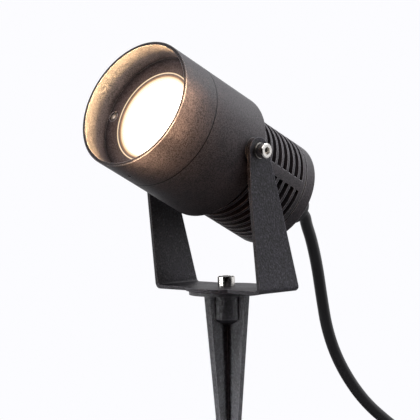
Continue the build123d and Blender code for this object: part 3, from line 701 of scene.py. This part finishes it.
@dataclass
class Lamp:
    """Lit glass in the head and the light that it throws, sizes in millimetres.

    Places are along the head's axis from the pivot, angles are in degrees.
    """

    glass_front: float = 44.8
    window_depth: float = 4.0          # glass front to the window's back edge
    disc_radius: float = 23.2
    window_radius: float = 23.5
    bevel_radius: float = 26.9
    beam_gap: float = 0.4              # beam before the glass
    beam_inset: float = 1.5            # beam inside the disc
    beam_watts: float = 1.9
    beam_spread: float = 130.0
    beam_colour: tuple = (0.94, 0.66, 0.32)
    glare_place: float = 59.0
    glare_size: float = 60.0
    glare_watts: float = 0.02
    glare_colour: tuple = (1.0, 0.86, 0.8)
    haze_place: float = 64.0
    haze_off_axis: float = 45.5
    haze_size: float = 20.0
    haze_watts: float = 0.017
    haze_colour: tuple = (1.0, 0.66, 0.39)
    haze_way: tuple = (0.933, -0.158, -0.324)   # across the axis, to the middle of the haze
    haze_turns: tuple = (-34.0, -2.0, 30.0)     # round the axis from there
    haze_lean: float = 0.55                     # share of its aim that goes back

    def disc(self, name: str, place: float, aside: np.ndarray, aim: np.ndarray, size: float,
             watts: float, colour: tuple) -> bpy.types.Object:
        """Add one round light to the head, which only shows by what it lights.

        Args:
            name: Name of the light.
            place: Its middle along the axis.
            aside: Its way from the axis.
            aim: Direction that it faces.
            size: Diameter.
            watts: Power.
            colour: Linear colour.

        Returns:
            The light's object.
        """
        middle = PIVOT + FORWARD * place * MM + aside * MM
        lamp = area_lamp(name, middle, aim, size * MM, watts, colour)
        lamp.data.shape = "DISK"
        lamp.visible_glossy = False
        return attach(lamp, "head")

    def build(self) -> None:
        """Light the glass, paint the lamp's light on its bevel, and add the beam and the haze
        beside the hood.

        A haze light's way from the axis is the middle way times the cosine of its turn, plus
        the way across it times the sine.
        """
        lit = LitGlass(self.disc_radius * MM).material()
        dress("glass", lit)
        dress("lamp", lit)
        bevel = LitBevel(self.window_radius * MM, self.bevel_radius * MM,
                         (self.glass_front - self.window_depth) * MM)
        dress("hood", bevel.material())
        on_axis = np.zeros(3)
        beam = self.disc("beam", self.glass_front + self.beam_gap, on_axis, FORWARD,
                         2 * (self.disc_radius - self.beam_inset), self.beam_watts,
                         self.beam_colour)
        beam.data.spread = radians(self.beam_spread)
        glare = self.disc("glare_on_plate", self.glare_place, on_axis, -FORWARD,
                          self.glare_size, self.glare_watts, self.glare_colour)
        glare.visible_glossy = True
        middle = np.array(self.haze_way)
        across = np.cross(FORWARD, middle)
        for number, turn in enumerate(self.haze_turns):
            aside = cos(radians(turn)) * middle + sin(radians(turn)) * across
            self.disc(f"haze_{number + 1}", self.haze_place, aside * self.haze_off_axis,
                      -aside - self.haze_lean * FORWARD, self.haze_size, self.haze_watts,
                      self.haze_colour)
        log.info("lit glass, beam and haze")


@dataclass(frozen=True)
class SoftLamp:
    """One soft square lamp of the studio, sizes in metres and its spread in degrees."""

    name: str
    place: tuple
    size: float
    watts: float
    aim: tuple = (0.0, 0.0, 0.06)
    colour: tuple = (0.96, 0.97, 1.0)
    spread: float = 180.0
    glossy: bool = True
    diffuse: bool = True

    def build(self) -> None:
        """Hang the lamp."""
        way = Vector(self.aim) - Vector(self.place)
        lamp = area_lamp(self.name, self.place, way, self.size, self.watts, self.colour)
        lamp.data.spread = radians(self.spread)
        lamp.visible_glossy = self.glossy
        lamp.visible_diffuse = self.diffuse


SPIKE_MIDDLE = (0.0, 0.0, -0.09)
# a broad one behind and above, one from each side and one from the front, a warm one low in
# front, one that only shows in what mirrors, and two narrow ones on the spike
SOFT_LAMPS = (
    SoftLamp("key", (0.5, 0.9, 1.2), 0.9, 17.0),
    SoftLamp("right", (1.3, 0.4, 0.3), 0.6, 2.0),
    SoftLamp("left", (-0.6, -1.1, 0.25), 0.3, 1.0, aim=(0.0, 0.0, 0.03)),
    SoftLamp("front", (1.0, -0.5, 1.1), 0.8, 4.4, colour=(1.0, 0.95, 0.93)),
    SoftLamp("low", (0.5, -1.0, 0.0), 0.4, 0.9, colour=(1.0, 0.50, 0.30), glossy=False),
    SoftLamp("mirror", (-0.90, -0.94, 0.05), 0.3, 3.0, diffuse=False),
    SoftLamp("spike_front", (-0.12, -0.485, -0.03), 0.08, 0.085, aim=SPIKE_MIDDLE, spread=22.0),
    SoftLamp("spike_right", (0.57, 0.18, -0.05), 0.10, 0.045, aim=SPIKE_MIDDLE, spread=20.0),
)


@dataclass
class Studio:
    """Camera, floor, backdrop and flag, sizes in metres and angles in degrees."""

    focal_px: float = 2247.98
    frame_px: float = 420.0
    sensor_mm: float = 36.0
    clip: tuple = (0.05, 50.0)
    azimuth: float = 44.1398
    elevation: float = 2.98796
    roll: float = -0.98235
    distance: float = 1.305196
    target: tuple = (-0.012146, 0.0, 0.048184)
    world_fill: float = 0.08           # strength of the white that lights what is matte
    floor_radius: float = 0.5
    floor_fade: float = 0.34           # radius from which the floor fades out
    floor_sides: int = 96
    floor_glow: float = 0.5            # emission that only the camera sees
    floor_mirrored: float = 0.5        # share of its pale colour in what mirrors it
    flag_way: tuple = (0.66, -0.68, -0.32)
    flag_angle: float = 76.0
    flag_hole: float = 0.5             # small hole in its middle, closed by one face
    flag_radius: float = 3.0
    flag_grid: tuple = (24, 48)        # rings, and points in a ring

    def camera(self) -> None:
        """Set the camera where the photograph was taken from.

        Its way back from the target is a turn by the azimuth from the light's front and a rise
        by the elevation; the picture is then rolled about that way.
        """
        az, el, roll = radians(self.azimuth), radians(self.elevation), radians(self.roll)
        back = np.array([sin(az) * cos(el), -cos(az) * cos(el), sin(el)])
        place = np.array(self.target) + back * self.distance
        right = np.cross(-back, [0.0, 0.0, 1.0])
        right /= np.linalg.norm(right)
        up = np.cross(right, -back)
        side = right * cos(roll) + up * sin(roll)
        top = -right * sin(roll) + up * cos(roll)
        data = bpy.data.cameras.new("camera")
        data.sensor_width = self.sensor_mm
        data.lens = self.focal_px / self.frame_px * self.sensor_mm
        data.clip_start, data.clip_end = self.clip
        camera = bpy.data.objects.new("camera", data)
        turned = np.eye(4)
        turned[:3] = np.stack([side, top, back, place], -1)
        camera.matrix_world = Matrix(turned.tolist())
        bpy.context.scene.collection.objects.link(camera)
        bpy.context.scene.camera = camera

    def world(self) -> None:
        """White for the camera and for what metal mirrors, grey for the light it gives."""
        world = bpy.data.worlds.new("studio_white")
        bpy.context.scene.world = world
        world.use_nodes = True
        tree = world.node_tree
        tree.nodes.clear()
        path = add(tree, "LightPath").outputs
        seen = add(tree, "Math", {0: path["Is Camera Ray"], 1: path["Is Glossy Ray"]},
                   operation="MAXIMUM").outputs[0]
        seen = add(tree, "Math", {0: seen, 1: path["Is Transmission Ray"]},
                   operation="MAXIMUM").outputs[0]
        strength = add(tree, "MapRange", {"Value": seen, "From Min": 0.0, "From Max": 1.0,
                                          "To Min": self.world_fill, "To Max": 1.0})
        glow = add(tree, "Background", {"Color": linear(WHITE), "Strength": strength.outputs[0]})
        add(tree, "OutputWorld", {"Surface": glow.outputs[0]})

    def floor(self) -> None:
        """Pale round floor at the spike's tip: it keeps the shadow and fades into the white.

        Its rim is a circle, and it fades out smoothly from an inner circle to the rim.
        """
        angle = np.linspace(0, 2 * pi, self.floor_sides, endpoint=False)
        rim = np.stack([np.cos(angle), np.sin(angle), 0 * angle], -1) * self.floor_radius
        points = rim + np.array([0.0, 0.0, GROUND])
        piece = mesh_piece("floor", points, np.zeros((0, 4), int),
                           [list(range(self.floor_sides))])
        mat, tree, shader = new_material("pale_floor")
        path = add(tree, "LightPath").outputs
        mirrored = add(tree, "Math", {0: path["Is Glossy Ray"], 1: self.floor_mirrored},
                       operation="MULTIPLY").outputs[0]
        seen = add(tree, "Math", {0: path["Is Camera Ray"], 1: mirrored},
                   operation="MAXIMUM").outputs[0]
        tone = add(tree, "Mix", {0: seen, 6: linear("48484a"), 7: linear("f4f4f7")},
                   data_type="RGBA").outputs[2]
        tree.links.new(tone, shader.inputs["Base Color"])
        shader.inputs["Roughness"].default_value = 0.9
        shader.inputs["Specular IOR Level"].default_value = 0.1
        shader.inputs["Emission Color"].default_value = linear(WHITE)
        glow = add(tree, "Math", {0: path["Is Camera Ray"], 1: self.floor_glow},
                   operation="MULTIPLY").outputs[0]
        tree.links.new(glow, shader.inputs["Emission Strength"])
        place = add(tree, "TexCoord").outputs["Object"]
        away = add(tree, "VectorMath", {0: place, 1: (0.0, 0.0, GROUND)}, operation="DISTANCE")
        solid = add(tree, "MapRange", {"Value": away.outputs["Value"],
                                       "From Min": self.floor_fade,
                                       "From Max": self.floor_radius,
                                       "To Min": 1.0, "To Max": 0.0},
                    interpolation_type="SMOOTHSTEP").outputs[0]
        tree.links.new(solid, shader.inputs["Alpha"])
        piece.data.materials.append(mat)

    def flag(self) -> None:
        """Black dome on the camera's side that darkens mirrored and fill light.

        The camera doesn't see it. A point of it is the middle way times the cosine of a slant
        of up to the flag's angle, plus a way across it, turned round it, times the sine.
        """
        middle = np.array(self.flag_way) / np.linalg.norm(self.flag_way)
        side = np.cross(middle, [0.0, 0.0, 1.0])
        side /= np.linalg.norm(side)
        top = np.cross(side, middle)
        rows, columns = self.flag_grid
        slant, turn = np.meshgrid(
            np.radians(np.linspace(self.flag_hole, self.flag_angle, rows)),
            np.linspace(0, 2 * pi, columns, endpoint=False), indexing="ij")
        ring = np.cos(turn)[..., None] * side + np.sin(turn)[..., None] * top
        dome = np.cos(slant)[..., None] * middle + np.sin(slant)[..., None] * ring
        piece = mesh_piece("black_flag", dome.reshape(-1, 3) * self.flag_radius,
                           grid_faces(rows, columns), [list(range(columns))])
        mat, _, shader = new_material("black_velvet")
        shader.inputs["Base Color"].default_value = linear("0a0a0a")
        shader.inputs["Roughness"].default_value = 1.0
        shader.inputs["Specular IOR Level"].default_value = 0.0
        piece.data.materials.append(mat)
        piece.visible_camera = False
        piece.visible_shadow = False
        piece.visible_transmission = False

    def build(self) -> None:
        """Set up the whole studio."""
        self.camera()
        self.world()
        self.floor()
        self.flag()
        for lamp in SOFT_LAMPS:
            lamp.build()
        bpy.context.scene.view_settings.view_transform = "Standard"
        log.info("studio")


def dress_solids() -> None:
    """Give the solids their finishes, apart from the lit ones and those of the cord."""
    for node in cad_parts:
        if "plate_screw" in node or "washer" in node:
            finish = BLASTED
        elif "screw" in node:
            finish = STAINLESS
        elif "pivot_pad" in node:
            finish = POLYAMIDE
        else:
            finish = NODE_FINISH.get(node)
        if finish is not None:
            dress(node, finish.material())


def main() -> None:
    """Build the pieces in order."""
    logging.basicConfig(level=logging.INFO)
    dress_solids()
    Lamp().build()
    Cord().build()
    Studio().build()


if __name__ == "__main__":
    main()
